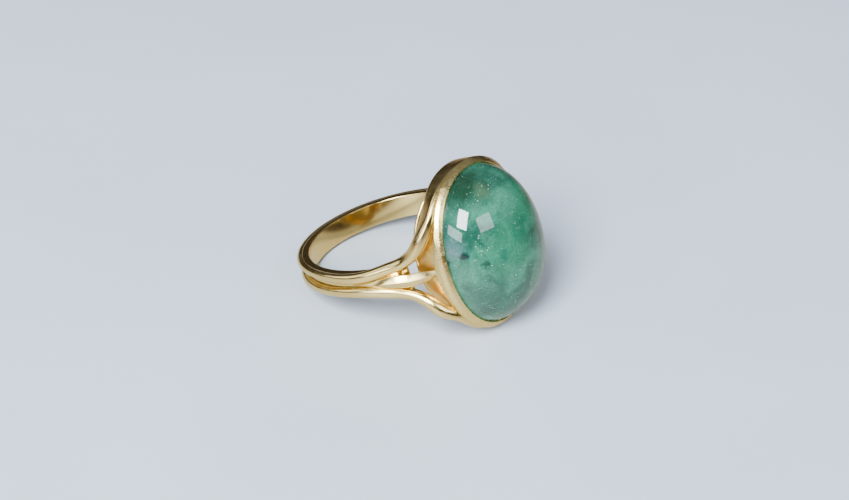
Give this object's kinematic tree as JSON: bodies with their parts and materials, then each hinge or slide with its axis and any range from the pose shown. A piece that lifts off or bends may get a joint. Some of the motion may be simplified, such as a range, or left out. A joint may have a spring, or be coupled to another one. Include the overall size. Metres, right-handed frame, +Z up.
{
  "type": "cocktail ring",
  "caption": "Yellow gold cocktail ring with a high oval cabochon in a closed bezel, carried by a split shank with a leaf on each shoulder.",
  "frame": {"origin": "centre of the bounding box on the surface that the ring lies on", "axes": "+Z up from the surface; the ring lies on its side, with the stone facing -Y and slightly up, and X across the finger"},
  "size_m": [0.0202, 0.0258, 0.0162],
  "materials": {
    "gold": "polished",
    "stone": "polished"
  },
  "bodies": {
    "root": {"cabochon": "stone", "bezel_collar": "gold", "bezel_back": "gold", "gallery_wall": "gold", "gallery_rail": "gold", "shank_band": "gold", "upper_shank_wire": "gold", "lower_shank_wire": "gold", "right_shoulder_leaf": "gold", "left_shoulder_leaf": "gold"}
  },
  "joints": []
}
